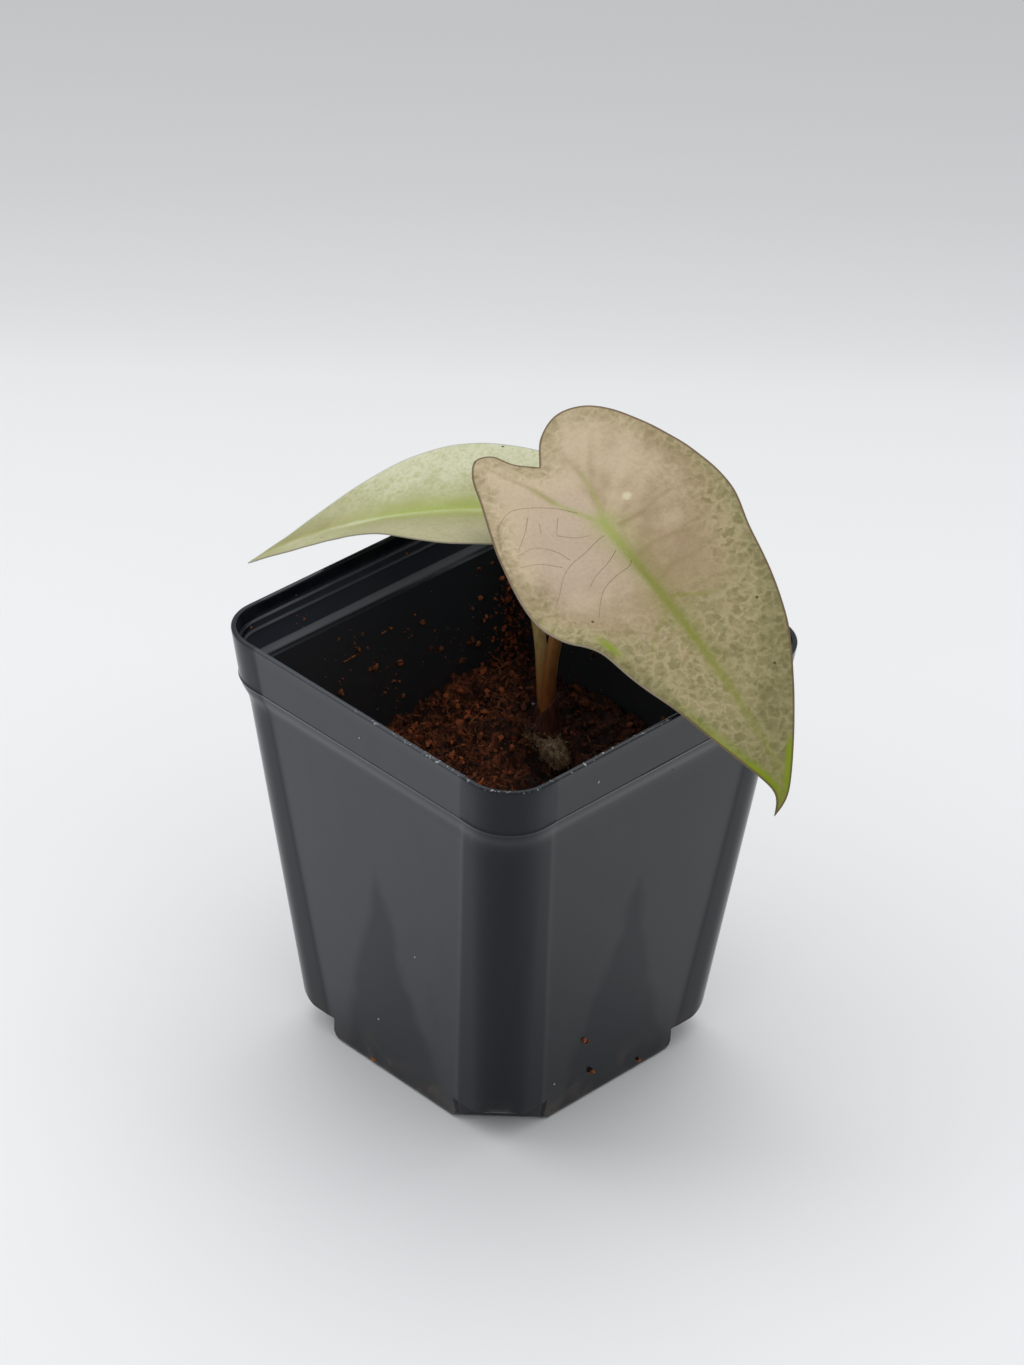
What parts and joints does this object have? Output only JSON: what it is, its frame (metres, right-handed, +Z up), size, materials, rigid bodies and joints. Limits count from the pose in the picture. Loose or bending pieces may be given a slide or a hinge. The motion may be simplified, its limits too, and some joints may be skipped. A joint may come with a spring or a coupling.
{
  "type": "potted pink polly alocasia",
  "caption": "Young alocasia with pinkish, grey-green mottled leaves in coir, in a small square dark grey nursery pot.",
  "frame": {"origin": "middle of the flat base of the pot, on the surface that it stands on", "axes": "+Z up, +X and +Y along the sides of the square pot; the larger leaf hangs out over the +X side"},
  "size_m": [0.1097, 0.0706, 0.105],
  "materials": {
    "pot_plastic": "satin",
    "coir": "matt",
    "corm": "matt",
    "sheath": "matt",
    "stalk": "satin",
    "leaf_pink": "satin",
    "leaf_green": "satin"
  },
  "bodies": {
    "root": {"pot": "pot_plastic", "coir": "coir", "corm_and_roots": "corm", "sheath": "sheath", "petiole_front": "stalk", "petiole_back": "stalk", "blade_front": "leaf_pink", "blade_back": "leaf_green"}
  },
  "joints": []
}
